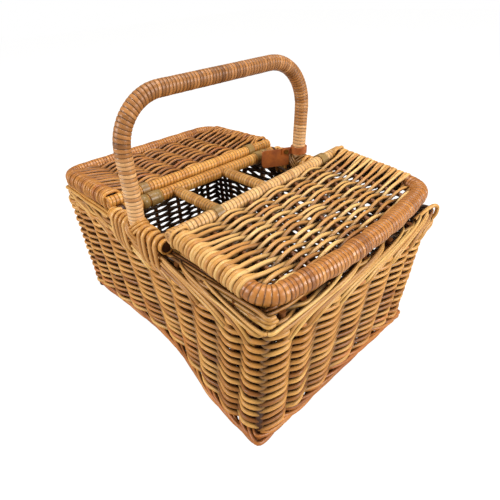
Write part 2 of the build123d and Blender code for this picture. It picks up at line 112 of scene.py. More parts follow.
def mirrored(half):
    """A symmetric row of places from its half."""
    return sorted({-v for v in half} | set(half))


def front_place(x_foot, z):
    """A front stake's x and y at a height, from its place at the foot."""
    x = x_foot * (1.0 + LONG_SPREAD * level(z))
    return np.array((x, -long_wall_y(x, z)))


def right_place(y_foot, z):
    """A right stake's x and y at a height, from its place at the foot."""
    y = y_foot * (1.0 + END_SPREAD * level(z))
    return np.array((end_wall_x(y, z), y))


def corner_place(sign, z):
    """The front left corner's x and y at a height (sign -1), or the front right one's (1)."""
    return np.array((sign * end_wall_x(-sign * CORNER_Y, z), -long_wall_y(sign * CORNER_X, z)))


def half_stations():
    """One long wall and one end wall: (kind, place function, argument, outward direction)."""
    places = [("corner", corner_place, -1.0, (-1.0, -1.0))]
    places += [("stake", front_place, x, (0.0, -1.0)) for x in mirrored(LONG_STAKES)]
    places.append(("corner", corner_place, 1.0, (1.0, -1.0)))
    places += [("stake", right_place, y, (1.0, 0.0)) for y in mirrored(END_STAKES)]
    return places


# The back and the left end repeat the front and the right end, turned by half a turn (sign -1).
STATIONS = [(*place, sign) for sign in (1.0, -1.0) for place in half_stations()]
CORNERS = [i for i, place in enumerate(STATIONS) if place[0] == "corner"]
FRONT_LEFT, FRONT_RIGHT, BACK_RIGHT, BACK_LEFT = CORNERS


def station(i, z, offset):
    """Point at a stake or corner, offset outwards from the middle surface."""
    _, place, argument, out, sign = STATIONS[i % len(STATIONS)]
    x, y = (place(argument, z) + offset * np.array(out)) * sign
    return np.array((x, y, z))


def between(i, z):
    """Point halfway from one stake to the next, on the middle surface."""
    _, place, a, _, sign = STATIONS[i % len(STATIONS)]
    b = STATIONS[(i + 1) % len(STATIONS)][2]
    return np.array((*place((a + b) / 2, z) * sign, z))


def along(s, z, offset):
    """Point at a fractional station."""
    i = int(np.floor(s))
    t = s - i
    return station(i, z, offset) * (1 - t) + station(i + 1, z, offset) * t


# ---- mesh building
def spline(points, steps, closed=False):
    """Smooth curve through points, sampled so many times between each pair."""
    p = np.asarray(points, float)
    if closed:
        p = np.vstack([p[-1], p, p[0], p[1]])
    else:
        p = np.vstack([2 * p[0] - p[1], p, 2 * p[-1] - p[-2]])
    gap = np.maximum(np.linalg.norm(np.diff(p, axis=0), axis=1), 1e-6)[:, None] ** 0.5
    p0, p1, p2, p3 = p[:-3], p[1:-2], p[2:-1], p[3:]
    g0, g1, g2 = gap[:-2], gap[1:-1], gap[2:]
    m1 = g1 * ((p1 - p0) / g0 - (p2 - p0) / (g0 + g1) + (p2 - p1) / g1)
    m2 = g1 * ((p2 - p1) / g1 - (p3 - p1) / (g1 + g2) + (p3 - p2) / g2)
    t = (np.arange(steps) / steps)[None, :, None]
    p1, p2, m1, m2 = p1[:, None], p2[:, None], m1[:, None], m2[:, None]
    curve = ((2 * t**3 - 3 * t**2 + 1) * p1 + (t**3 - 2 * t**2 + t) * m1
             + (3 * t**2 - 2 * t**3) * p2 + (t**3 - t**2) * m2)
    curve = curve.reshape(-1, p.shape[1])
    if not closed:
        curve = np.vstack([curve, p[-2]])
    return curve


def unit(v):
    """Vectors scaled to length 1."""
    return v / np.maximum(np.linalg.norm(v, axis=-1, keepdims=True), 1e-9)


def directions(points, closed=False):
    """Unit tangents along a path."""
    if closed:
        return unit(np.roll(points, -1, 0) - np.roll(points, 1, 0))
    return unit(np.gradient(points, axis=0))


def axes_along(tangent, ref):
    """Side and up directions for unit tangents, from a reference direction."""
    ref = np.asarray(ref, float)
    upward = unit(ref - tangent * (tangent @ ref)[..., None])
    return np.cross(tangent, upward), upward


def path_length(path):
    """Length of a dense path."""
    return float(np.linalg.norm(np.diff(path, axis=0), axis=1).sum())


def path_at(path, s):
    """Points at lengths along a dense path."""
    step = np.concatenate([[0.0], np.cumsum(np.linalg.norm(np.diff(path, axis=0), axis=1))])
    s = np.clip(s, 0.0, step[-1])
    return np.stack([np.interp(s, step, path[:, i]) for i in range(3)], -1)


def line(a, b, step=1.0):
    """Dense points on a straight run."""
    a, b = np.asarray(a, float), np.asarray(b, float)
    n = max(2, int(np.linalg.norm(b - a) / step))
    return a + (b - a) * np.linspace(0, 1, n)[:, None]


def ellipse(centre, a, b, count):
    """Points round a closed ellipse, from its centre and its two half axes."""
    angle = np.linspace(0, 2 * pi, count, endpoint=False)[:, None]
    return np.asarray(centre) + np.asarray(a) * np.cos(angle) + np.asarray(b) * np.sin(angle)


def fillet_path(points, radii, step=1.0):
    """Straight runs joined by arcs, as dense points."""
    points = [np.asarray(p, float) for p in points]
    path = [points[0]]
    for previous, corner, following, radius in zip(points, points[1:], points[2:], radii):
        a, b = unit(previous - corner), unit(following - corner)
        half = np.arccos(np.clip(a @ b, -1, 1)) / 2
        centre = corner + unit(a + b) * radius / sin(half)
        start = corner + a * radius / np.tan(half)
        finish = corner + b * radius / np.tan(half)
        u, v = start - centre, finish - centre
        sweep = pi - 2 * half
        n = max(6, int(radius * sweep / step))
        for t in np.linspace(0, 1, n):
            path.append(centre + (u * sin((1 - t) * sweep) + v * sin(t * sweep)) / sin(sweep))
    path.append(points[-1])
    dense = [path[0]]
    for a, b in zip(path, path[1:]):
        if np.linalg.norm(b - a) > 1e-6:
            dense += list(line(a, b, step)[1:])
    return np.array(dense)


def drawn(mean, spread):
    """A random value from 0 to 1 about a mean."""
    return float(np.clip(rng.normal(mean, spread), 0, 1))


def new_store():
    """What one piece's mesh is gathered in: its vertices, its faces and their values."""
    lists = ("verts", "faces", "uvs", "flat", "tint", "warm", "shade")
    return {"count": 0, **{key: [] for key in lists}}


def add_part(store, verts, faces, uvs, flat, tint, warm, shade):
    """Append vertices with their values, and faces with their UVs, to a store."""
    base = store["count"]
    store["verts"].append(verts)
    store["faces"] += [[v + base for v in face] for face in faces]
    store["uvs"].append(uvs)
    store["flat"] += flat
    for key, value in (("tint", tint), ("warm", warm), ("shade", shade)):
        store[key].append(np.broadcast_to(value, (len(verts),)).astype(float))
    store["count"] += len(verts)


GRAIN_RUN = 4000.0  # the grain starts somewhere on this length, so that no two rods look alike
CUT_SHADE, CUT_GRAIN = 0.45, 3.0  # shade of a rod's cut end, and radius of the grain shown on it


def add_tube(store, points, radius, ref=UP, sides=8, closed=False, flatten=1.0,
             tint=0.5, warm=0.3, shade=0.0, depth=None):
    """Rod along a path, flattened or round; depth gives the painted shade of each vertex instead.
    """
    points = np.asarray(points, float)
    n = len(points)
    radius = np.broadcast_to(radius, (n,)).astype(float)
    side, upward = axes_along(directions(points, closed), ref)
    angle = (np.arange(sides) + 0.5) * 2 * pi / sides
    ring = (side[:, None] * np.cos(angle)[None, :, None]
            + upward[:, None] * np.sin(angle)[None, :, None] * flatten)
    verts = (points[:, None] + ring * radius[:, None, None]).reshape(-1, 3)
    step = np.linalg.norm(np.diff(points, axis=0, append=points[:1]), axis=1)
    s = np.concatenate([[0.0], np.cumsum(step)]) + rng.uniform(0, GRAIN_RUN)
    width = 2 * pi * radius.mean() / sides
    faces, uvs = [], []
    for i in range(n if closed else n - 1):
        a, b = i * sides, ((i + 1) % n) * sides
        for j in range(sides):
            k = (j + 1) % sides
            faces.append((a + j, a + k, b + k, b + j))
            uvs += [(s[i], j * width), (s[i], (j + 1) * width),
                    (s[i + 1], (j + 1) * width), (s[i + 1], j * width)]
    flat = [False] * len(faces)
    values = [np.repeat(np.broadcast_to(v, (n,)), sides) for v in (tint, warm, shade)]
    if depth is not None:
        values[2] = depth(verts, np.repeat(np.arange(n), sides))
    if not closed:
        for end, order in ((0, range(sides)), (n - 1, reversed(range(sides)))):
            start = len(verts)
            rim_of = slice(end * sides, (end + 1) * sides)
            verts = np.vstack([verts, verts[rim_of]])
            faces.append([start + j for j in order])
            uvs += [(s[end] + CUT_GRAIN * cos(a), CUT_GRAIN * sin(a)) for a in angle]
            flat.append(True)
            values = [np.concatenate([v, v[rim_of]]) for v in values]
            values[2][-sides:] = CUT_SHADE
    add_part(store, verts, faces, np.array(uvs), flat, *values)


# The strip of a close winding across its pitch: (share of the pitch, height in creases, darkening
# in the grooves between turns, which is painted shade and dirt).
STRIP = ((0.0, -0.62, 1.0), (0.07, -0.12, 0.35), (0.24, -0.02, 0.0), (0.5, 0.0, 0.0),
         (0.76, -0.02, 0.0), (0.93, -0.12, 0.35))
UNEVEN = 0.12  # how much one turn lies higher or lower than the next
REACH = 0.6  # half the length over which a winding's direction is taken


def add_wrap(store, path, radius, pitch, ref, sides=28, tint=0.5, spread=0.25, warm=0.3,
             crease=0.9, swell=None, darken=None):
    """Cane wound closely round a path: one strip, each turn rounded and creased at its edges.

    Swell adds to the radius and darken to the tint, as values at equal steps along the path.
    """
    path = np.asarray(path, float)
    length = path_length(path)
    share, height, groove_dirt_and_shade = np.array(STRIP).T
    m = len(STRIP)
    turns = int(length / pitch) + 2
    rows = turns * m
    i, j = np.arange(rows), np.arange(sides)
    phase = i // m + share[i % m]
    turn_of = (i // m)[:, None] + j[None, :] / sides
    knots = np.arange(turns + 3)
    swing = np.interp(turn_of, knots, rng.uniform(-1, 1, turns + 3))
    rise = np.interp(turn_of, knots, rng.uniform(-1, 1, turns + 3)) * UNEVEN
    s = np.clip((phase[:, None] + j[None, :] / sides - 1.0) * pitch, 0.0, length)
    tangent = unit(path_at(path, s + REACH) - path_at(path, s - REACH))
    side, upward = axes_along(tangent, ref)
    angle = (j * 2 * pi / sides)[None, :, None]
    r = radius + (height * crease)[i % m][:, None] + rise - UNEVEN
    if swell is not None:
        r += np.interp(s, np.linspace(0.0, length, len(swell)), swell)
    verts = path_at(path, s) + (side * np.cos(angle) + upward * np.sin(angle)) * r[..., None]
    width = 2 * pi * radius / sides
    faces, uvs = [], []
    for a in range(rows - 1):
        for b in range(sides):
            if b + 1 < sides:
                quad = ((a, b), (a + 1, b), (a + 1, b + 1), (a, b + 1))
            elif a + 1 + m < rows:
                quad = ((a, b), (a + 1, b), (a + 1 + m, 0), (a + m, 0))
            else:
                continue
            lengths = [s[q] for q in quad]
            if max(lengths) - min(lengths) < 1e-6:
                continue
            faces.append([q[0] * sides + q[1] for q in quad])
            turn_at = (a // m) * sides * width
            v0, v1 = phase[a] * pitch, phase[a + 1] * pitch
            uvs += [(turn_at + b * width, v0), (turn_at + b * width, v1),
                    (turn_at + (b + 1) * width, v1), (turn_at + (b + 1) * width, v0)]
    tones = tint + spread * swing
    if darken is not None:
        tones = tones + np.interp(s, np.linspace(0.0, length, len(darken)), darken)
    add_part(store, verts.reshape(-1, 3), faces, np.array(uvs), [False] * len(faces),
             np.clip(tones, 0, 1).reshape(-1), warm, np.repeat(groove_dirt_and_shade[i % m], sides))


def build(store, name, material, body, slot, *nodes):
    """Mesh object from a store, riding on a body in place of its CAD nodes."""
    verts = np.vstack(store["verts"]) * MM
    mesh = bpy.data.meshes.new(name)
    used = sorted({v for face in store["faces"] for v in face})
    renumber = np.full(len(verts), -1)
    renumber[used] = np.arange(len(used))
    faces = [[int(renumber[v]) for v in face] for face in store["faces"]]
    mesh.from_pydata(verts[used].tolist(), [], faces)
    layer = mesh.uv_layers.new(name="grain")
    layer.data.foreach_set("uv", (np.vstack(store["uvs"]) * MM).ravel())
    for key in ("tint", "warm", "shade"):
        values = np.concatenate(store[key])[used]
        mesh.attributes.new(key, "FLOAT", "POINT").data.foreach_set("value", values)
    mesh.polygons.foreach_set("use_smooth", [not f for f in store["flat"]])
    mesh.update()
    piece = bpy.data.objects.new(name, mesh)
    bpy.context.scene.collection.objects.link(piece)
    mesh.materials.append(material)
    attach(piece, body)
    if nodes:
        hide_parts(*nodes)


# ---- materials
def rgb(*screen):
    """Linear colour from the 0 to 255 values seen on a screen."""
    linear = [((c / 255 + 0.055) / 1.055) ** 2.4 if c > 10 else c / 3294.6 for c in screen]
    return (*linear, 1.0)


def new_material(name):
    """Material with an empty node tree."""
    material = bpy.data.materials.new(name)
    material.use_nodes = True
    tree = material.node_tree
    tree.nodes.clear()
    return material, tree


def add_node(tree, kind, values=(), **settings):
    """Shader node whose inputs are set to values or linked to sockets."""
    node = tree.nodes.new("ShaderNode" + kind)
    for key, value in settings.items():
        setattr(node, key, value)
    for key, value in dict(values).items():
        if isinstance(value, bpy.types.NodeSocket):
            tree.links.new(value, node.inputs[key])
        else:
            node.inputs[key].default_value = value
    return node


def mixed(tree, mode, factor, a, b):
    """Colour b over colour a."""
    node = add_node(tree, "Mix", {0: factor, 6: a, 7: b}, data_type="RGBA", blend_type=mode)
    return node.outputs[2]


def noise_at(tree, vector, scale, detail, rough=0.55):
    """Noise of a scale per metre along each axis."""
    stretch = add_node(tree, "Mapping", {"Vector": vector, "Scale": scale})
    noise = add_node(tree, "TexNoise", {"Vector": stretch.outputs[0], "Scale": 1.0,
                                        "Detail": detail, "Roughness": rough})
    return noise.outputs["Fac"]


def ranged(tree, value, low, high, to_low=0.0, to_high=1.0):
    """Value brought from one range to another and kept within it."""
    node = add_node(tree, "MapRange", {"Value": value, "From Min": low, "From Max": high,
                                       "To Min": to_low, "To Max": to_high})
    return node.outputs[0]


# Dark brown for knots and for painted shade, and the brown that darkens the grain's streaks.
KNOT_AND_PAINTED_SHADE, STREAK = rgb(40, 19, 8), rgb(176, 132, 92)


def cane(name, pale, mid, deep, warm, rough=0.42, coat=0.06, streak=0.4, knot=0.35,
         plain=False, axis=(26.0, 1500.0, 900.0)):
    """Willow or cane: colour from rod to rod, long streaks, small knots, and painted shade in
    creases and deep in the weave.

    Axis is the scale of the fine grain, lowest along the rod. A plain one has no values on its
    mesh, and takes its tint and warmth from noise.
    """
    material, tree = new_material(name)
    if plain:
        vector = add_node(tree, "TexCoord").outputs["Object"]
        tint = noise_at(tree, vector, (60.0, 60.0, 60.0), 2.0)
        warmth = noise_at(tree, vector, (22.0, 22.0, 22.0), 1.0)
    else:
        vector = add_node(tree, "UVMap", uv_map="grain").outputs[0]
        tint, warmth, shade = [add_node(tree, "Attribute", attribute_name=key).outputs["Fac"]
                               for key in ("tint", "warm", "shade")]
    slow = noise_at(tree, vector, (14.0, 60.0, 60.0), 2.0)
    drift = ranged(tree, slow, 0.3, 0.7, -0.22, 0.22)
    tone = add_node(tree, "Math", {0: tint, 1: drift}, operation="ADD")
    ramp = add_node(tree, "ValToRGB", {"Fac": tone.outputs[0]})
    stops = ramp.color_ramp.elements
    stops[0].color, stops[1].color = rgb(*pale), rgb(*deep)
    stops.new(0.5).color = rgb(*mid)
    redness = ranged(tree, warmth, 0.35, 1.0, 0.0, 0.85)
    colour = mixed(tree, "MIX", redness, ramp.outputs[0], rgb(*warm))
    grain = noise_at(tree, vector, axis, 4.0, 0.6)
    darker = mixed(tree, "MULTIPLY", streak, colour, STREAK)
    colour = mixed(tree, "MIX", ranged(tree, grain, 0.36, 0.64), darker, colour)
    spots = noise_at(tree, vector, (70.0, 260.0, 260.0), 2.0)
    colour = mixed(tree, "MIX", ranged(tree, spots, 0.66, 0.74, 0.0, knot), colour, KNOT_AND_PAINTED_SHADE)
    if not plain:
        # Painted shade: the mesh's shade values darken the colour in creases, gaps and the inside.
        # They also carry dirt in a winding's grooves and the darker cut ends.
        hidden = ranged(tree, shade, 0.0, 1.0, 0.0, 0.97)
        colour = mixed(tree, "MIX", hidden, colour, KNOT_AND_PAINTED_SHADE)
    fine = add_node(tree, "Bump", {"Strength": 0.25, "Distance": 0.0006, "Height": grain})
    shader = add_node(tree, "BsdfPrincipled", {
        "Base Color": colour, "Roughness": ranged(tree, slow, 0.3, 0.7, rough - 0.08, rough + 0.1),
        "Normal": fine.outputs[0], "Coat Weight": coat, "Coat Roughness": 0.28,
        "Specular IOR Level": 0.36,
    })
    add_node(tree, "OutputMaterial", {0: shader.outputs[0]})
    return material


WOUND = {"streak": 0.22, "axis": (40.0, 900.0, 900.0)}
willow = cane("willow", (246, 190, 104), (216, 152, 72), (164, 102, 42), (206, 112, 46))
willow_foot = cane("willow_foot", (230, 162, 84), (200, 130, 60), (152, 88, 38), (196, 108, 48),
                   rough=0.4)
border = cane("border_willow", (240, 194, 112), (212, 156, 78), (156, 98, 40), (192, 114, 50))
near_lid = cane("near_lid_willow", (238, 196, 124), (212, 158, 84), (166, 110, 50), (202, 126, 62))
far_lid = cane("far_lid_willow", (222, 164, 84), (190, 128, 56), (140, 84, 32), (178, 104, 46))
handle_cane = cane("handle_cane", (244, 194, 134), (188, 128, 70), (120, 74, 32), (166, 102, 48),
                   rough=0.4, coat=0.12, knot=0.2, **WOUND)
bar_cane = cane("bar_cane", (228, 170, 86), (202, 138, 58), (156, 98, 34), (188, 112, 44),
                rough=0.38, coat=0.14, knot=0.25, **WOUND)
hinge_cane = cane("hinge_cane", (234, 188, 124), (210, 160, 96), (164, 112, 60), (192, 130, 72),
                  rough=0.4, coat=0.1, knot=0.3, **WOUND)
cross_cane = cane("cross_cane", (220, 170, 98), (190, 134, 64), (146, 96, 42), (176, 108, 50),
                  rough=0.4, knot=0.2, **WOUND)
edge_cane = cane("edge_cane", (216, 152, 78), (180, 114, 50), (128, 74, 28), (160, 90, 36),
                 rough=0.36, coat=0.25, knot=0.25, **WOUND)
pale_cane = cane("pale_cane", (230, 178, 104), (204, 146, 72), (158, 102, 42), (188, 114, 50),
                 rough=0.36)
rod_wood = cane("rod_wood", (104, 62, 32), (74, 42, 22), (44, 24, 12), (62, 34, 16), plain=True,
                axis=(300.0, 60.0, 300.0))
stake_wood = cane("stake_wood", (170, 112, 60), (132, 82, 40), (92, 54, 24), (110, 62, 28),
                  plain=True, axis=(900.0, 900.0, 60.0))
olive_cane = cane("olive_cane", (176, 146, 88), (152, 122, 66), (124, 96, 50), (144, 104, 58),
                  plain=True, rough=0.36, coat=0.2, axis=(500.0, 500.0, 900.0))
band_cane = cane("band_cane", (172, 142, 86), (148, 118, 64), (120, 92, 48), (140, 100, 56),
                 rough=0.36, coat=0.2)


def camera_pick(tree, unseen, seen, output):
    """End a tree with one shader for the camera and another for light."""
    ray = add_node(tree, "LightPath").outputs["Is Camera Ray"]
    pick = add_node(tree, "MixShader", {0: ray, 1: unseen.outputs[0], 2: seen.outputs[0]})
    add_node(tree, output, {0: pick.outputs[0]})


def leather_material():
    """Tan leather with darker patches and fine pores."""
    material, tree = new_material("saddle_leather")
    place = add_node(tree, "TexCoord").outputs["Object"]
    patch = add_node(tree, "TexNoise", {"Vector": place, "Scale": 90.0, "Detail": 4.0})
    patch = patch.outputs["Fac"]
    pores = add_node(tree, "TexVoronoi", {"Vector": place, "Scale": 1400.0}).outputs["Distance"]
    colour = mixed(tree, "MIX", ranged(tree, patch, 0.3, 0.7), rgb(190, 106, 42), rgb(146, 74, 26))
    colour = mixed(tree, "MULTIPLY", ranged(tree, pores, 0.0, 0.5, 0.5, 0.0), colour,
                   rgb(120, 80, 60))
    grain = add_node(tree, "Bump", {"Strength": 0.35, "Distance": 0.0004, "Height": pores})
    shader = add_node(tree, "BsdfPrincipled", {
        "Base Color": colour, "Roughness": ranged(tree, patch, 0.3, 0.7, 0.42, 0.6),
        "Normal": grain.outputs[0],
    })
    add_node(tree, "OutputMaterial", {0: shader.outputs[0]})
    return material


def brass_material():
    """Brass dulled in patches."""
    material, tree = new_material("aged_brass")
    place = add_node(tree, "TexCoord").outputs["Object"]
    patina = add_node(tree, "TexNoise", {"Vector": place, "Scale": 420.0, "Detail": 4.0})
    patina = patina.outputs["Fac"]
    colour = mixed(tree, "MIX", ranged(tree, patina, 0.35, 0.65), rgb(196, 156, 82),
                   rgb(128, 92, 44))
    shader = add_node(tree, "BsdfPrincipled", {
        "Base Color": colour, "Metallic": 1.0,
        "Roughness": ranged(tree, patina, 0.3, 0.7, 0.22, 0.45),
    })
    add_node(tree, "OutputMaterial", {0: shader.outputs[0]})
    return material


leather = leather_material()
brass = brass_material()

# ---- woven walls
ROD_D = 6.3
ROWS = 29
ROW_PITCH = (WEAVE_TOP_Z - WEAVE_Z) / ROWS
SWING = 7.0  # how far a row goes in front of one stake and behind the next
HEIGHT_NOISE, SWING_NOISE = 0.45, 0.25
# Offsets of the corners, and the depth at which a corner counts for the painted shade.
CORNER_OFFSET, BACK_RIGHT_OFFSET, CORNER_DEPTH = -2.0, 1.4, -1.0
CURVE_STEPS = 5
RODS_A_ROW = 3
JOIN_LAP = 3  # points by which two rods of a row pass each other behind a stake
ROD_TAPER = (1.08, 0.9)
WALL_TINT, WALL_WARM, FOOT_WARM, FOOT_FADE = 0.42, 0.16, 0.5, 3.2  # rods near the foot are redder
DARK_SHARE, DARK_TINT, DARK_WARM = 0.05, 0.95, 0.3  # a few rods are dark
# Painted shade of the wall rods, (outer offset, inner offset, most, flank): dark deep in the weave,
# on the inside and on their flanks.
WALL_PAINTED_SHADE = (7.0, -0.4, 0.97, 0.7)


def wall_row(z, parity, swing_by):
    """Control points of one woven row, with the offset of each from the middle surface."""
    points, offsets = [], []
    number = 0
    for i, (kind, *_) in enumerate(STATIONS):
        height = z + rng.normal(0, HEIGHT_NOISE)
        if kind == "corner":
            offset = BACK_RIGHT_OFFSET if i == BACK_RIGHT else CORNER_OFFSET
            points.append(station(i, height, offset))
            offsets.append(CORNER_DEPTH)
            continue
        swing = swing_by if (number + parity) % 2 == 0 else -swing_by
        points.append(station(i, height, swing + rng.normal(0, SWING_NOISE)))
        offsets.append(swing)
        number += 1
        if STATIONS[(i + 1) % len(STATIONS)][0] == "stake":
            points.append(between(i, height))
            offsets.append(0.0)
    return np.array(points), np.array(offsets)


FLANK_START, FLANK_RUN = 0.68, 0.9  # how a side's painted shade grows as it turns away from the front
UNDER_SLOPE = 1.6  # how quickly a rod seen from below counts as lying on the lower face
LESSER_SHARE = 0.35  # how much of the lesser of two painted shades is added to the greater


def painted_cavity_shade(centres, offsets, outward, outer, inner, most, flank, both=False):
    """Painted shade of a woven rod's surface, from how deep it lies and which way it faces.

    It goes from 0 at the outer offset from the weave's middle to most at the inner one. Flank
    is for a side that faces along the weave. With both, the weave is bare on its two faces.
    """
    def shade(verts, owner):
        arm = verts - centres[owner]
        away = (arm * outward[owner]).sum(axis=1)
        facing = away / np.maximum(np.linalg.norm(arm, axis=1), 1e-6)
        height = offsets[owner] + away
        if both:
            under = np.clip(0.5 - UNDER_SLOPE * facing, 0.0, 1.0)
            height = height * (1 - under) - height * under
            facing = np.abs(facing)
        deep = np.clip((outer - height) / (outer - inner), 0.0, 1.0) * most
        beside = np.clip((FLANK_START - facing) / FLANK_RUN, 0.0, 1.0) * flank
        lesser = np.minimum(deep, beside)
        return np.clip(np.maximum(deep, beside) + LESSER_SHARE * lesser, 0.0, most)
    return shade


def add_wall_rows(store, heights, swing=SWING, rod_r=ROD_D / 2):
    """Woven rows at these heights, each of a few rods with their joins behind stakes."""
    for row, z in enumerate(heights):
        points, offsets = wall_row(z, row, swing)
        curve = spline(points, CURVE_STEPS, closed=True)
        offset_at = spline(offsets[:, None], CURVE_STEPS, closed=True)[:, 0]
        outward = unit(np.cross(directions(curve, closed=True), UP))
        hidden = [i for i in range(len(offsets)) if offsets[i] < 0.5 - swing]
        joins = sorted(rng.choice(len(hidden), size=RODS_A_ROW, replace=False))
        cuts = [hidden[i] * CURVE_STEPS for i in joins]
        for a, b in zip(cuts, cuts[1:] + [cuts[0] + len(curve)]):
            index = np.arange(a - JOIN_LAP, b + JOIN_LAP + 1) % len(curve)
            ends = ROD_TAPER if rng.random() < 0.5 else ROD_TAPER[::-1]
            taper = np.linspace(*ends, len(index))
            low = max(0.0, 1.0 - level(z) * FOOT_FADE)
            tint, warm = drawn(WALL_TINT, 0.19), drawn(WALL_WARM + FOOT_WARM * low, 0.18)
            if rng.random() < DARK_SHARE:
                tint, warm = DARK_TINT, DARK_WARM
            # Painted shade, from how deep each part of the rod lies and which way it faces.
            shade = painted_cavity_shade(curve[index], offset_at[index], outward[index], *WALL_PAINTED_SHADE)
            add_tube(store, curve[index], rod_r * taper, tint=tint, warm=warm, depth=shade)


walls = new_store()
add_wall_rows(walls, [WEAVE_Z + (row + 0.5) * ROW_PITCH for row in range(ROWS)])
build(walls, "walls_weave", willow, "basket", "willow",
      "weave_front", "weave_back", "weave_left", "weave_right")

# ---- borders
# Each wall's first and last stake, and the way in which its border rods run.
WALL_RANGES = [(a + 1, b - 1, way) for a, b, way in
               zip(CORNERS, CORNERS[1:] + [len(STATIONS)], (-1, 1, 1, -1))]
TINT_SPREAD, WARM_SPREAD = 0.2, 0.15
# Painted shade of the border rods: its depth from the outer offset to the darkest, how dark it
# gets, and how dark their flanks.
BORDER_DEPTH, BORDER_MOST, BORDER_FLANK = 7.0, 0.96, 0.9
BORDER_STEPS, BORDER_TAPER, BORDER_SIZES = 7, (1.08, 0.86), (0.88, 1.1)
LENGTH_NOISE, OFFSET_NOISE, RISE_NOISE = 0.05, 0.35, 0.5
CALM_LEAST, CALM_NEAR, CALM_RUN = 0.3, 3.0, 3.0


def calm(s):
    """How far the border rods stand out at a station: less round the front left corner."""
    s = (s - FRONT_LEFT) % len(STATIONS)
    away = min(s, len(STATIONS) - s)
    return CALM_LEAST + (1.0 - CALM_LEAST) * min(1.0, max(0.0, (away - CALM_NEAR) / CALM_RUN))


def border_rods(store, profile, starts, radius, tint, warm, outer=5.0):
    """Rods along the border by a profile, from starts of (station, way, lift)."""
    for s0, way, lift in starts:
        long = 1.0 + rng.normal(0, LENGTH_NOISE)
        controls, offsets = [], []
        for t, z, offset in profile:
            offset = offset * calm(s0 + way * t) + rng.normal(0, OFFSET_NOISE)
            height = z + lift + rng.normal(0, RISE_NOISE)
            controls.append(along(s0 + way * long * t, height, offset))
            offsets.append(offset)
        curve = spline(controls, BORDER_STEPS)
        offset_at = spline(np.array(offsets)[:, None], BORDER_STEPS)[:, 0]
        outward = unit(np.cross(directions(curve) * way, UP))
        size = radius * rng.uniform(*BORDER_SIZES) * np.linspace(*BORDER_TAPER, len(curve))
        # Painted shade, darker deep in the border and on the rod's flanks.
        shade = painted_cavity_shade(curve, offset_at, outward, outer, outer - BORDER_DEPTH, BORDER_MOST,
                       BORDER_FLANK)
        add_tube(store, curve, size, sides=9, tint=drawn(tint, TINT_SPREAD),
                 warm=drawn(warm, WARM_SPREAD), depth=shade)


def stake_starts(first, last, way, shifts):
    """Where the border rods of a wall start: one for each (shift, lift) at each stake."""
    return [(i + way * shift, way, lift) for i in range(first, last + 1) for shift, lift in shifts]


# Profiles: (stations from the start, z, offset outwards).
# From a stake out over the weave and along under the rim, then in over it.
RIM_PROFILE = ((0.0, 161.0, 2.5), (0.04, 170.0, 8.0), (0.3, 179.0, 9.4), (0.85, 187.0, 8.8),
               (1.5, 193.5, 7.6), (2.2, 200.0, 6.2), (2.6, 204.4, 2.6), (2.8, 204.0, -3.4),
               (2.9, 197.0, -7.0))
# The same from a corner, flatter.
CORNER_PROFILE = ((-0.5, 184.0, -7.0), (-0.15, 187.0, 1.0), (0.1, 189.0, 7.0), (0.7, 191.5, 8.6),
                  (1.7, 195.5, 8.6), (2.5, 200.5, 7.0), (3.0, 204.6, 3.0), (3.2, 204.0, -3.4),
                  (3.3, 197.0, -7.0))
# Along the top of the rim, from a corner.
LONG_PROFILE = ((-0.4, 204.4, 3.4), (0.0, 205.4, 2.2), (0.8, 205.6, 1.4), (2.0, 205.4, 1.2),
                (3.4, 205.2, 1.0), (4.2, 203.4, -1.5), (4.6, 199.0, -6.0))
# Round a corner on the inside of the rim.
INNER_PROFILE = ((-5.6, 197.0, 0.0), (-4.8, 203.0, 0.4), (-3.6, 204.0, 0.0), (-2.4, 203.5, -0.6),
                 (-1.2, 202.4, 0.0), (-0.5, 202.0, -1.0), (0.0, 202.2, -2.6), (0.6, 202.0, -1.0),
                 (1.5, 202.6, 0.4), (2.4, 202.6, 0.0), (3.2, 197.0, 0.0))
# How far inwards and how much lower each inner rod lies.
INNER_RODS = ((-3.0, 0.0), (-8.4, 0.0), (-13.6, 0.0), (-5.6, 5.0), (-11.0, 5.0),
              (-3.0, 10.0), (-8.4, 10.0), (-5.6, 15.0))
# Rods that lie on the rim under the left lid: (z, offset, tint), and their stations.
LEFT_RODS = ((208.6, -1.8, 0.5), (206.0, 2.6, 0.4), (207.6, -7.4, 0.6))
LEFT_STATIONS = np.arange(-7.4, 4.5, 0.5)
# The loop that a rod makes at the back right corner: (station, z, offset).
CORNER_LOOP = ((17.4, 203.0, 1.0), (18.4, 207.0, 3.0), (18.9, 209.5, 6.5), (19.03, 206.0, 9.6),
               (19.0, 198.0, 10.0), (19.0, 190.0, 8.5), (18.95, 180.0, 1.0))
rim = new_store()
add_wall_rows(rim, [193.4, 199.0], swing=4.6, rod_r=2.9)
for first, last, way in WALL_RANGES:
    starts = stake_starts(first, last, way, ((0.0, 0.0), (0.16, -5.0)))
    border_rods(rim, RIM_PROFILE, starts, radius=2.9, tint=0.42, warm=0.15)
for z, offset, tone in LEFT_RODS:
    curve = spline([along(s, z + rng.normal(0, 0.4), offset) for s in LEFT_STATIONS], 4)
    add_tube(rim, curve, 2.7, sides=9, tint=tone, warm=0.2)
add_tube(rim, spline([along(*place) for place in CORNER_LOOP], 8), 2.8, sides=9, tint=0.4, warm=0.2)
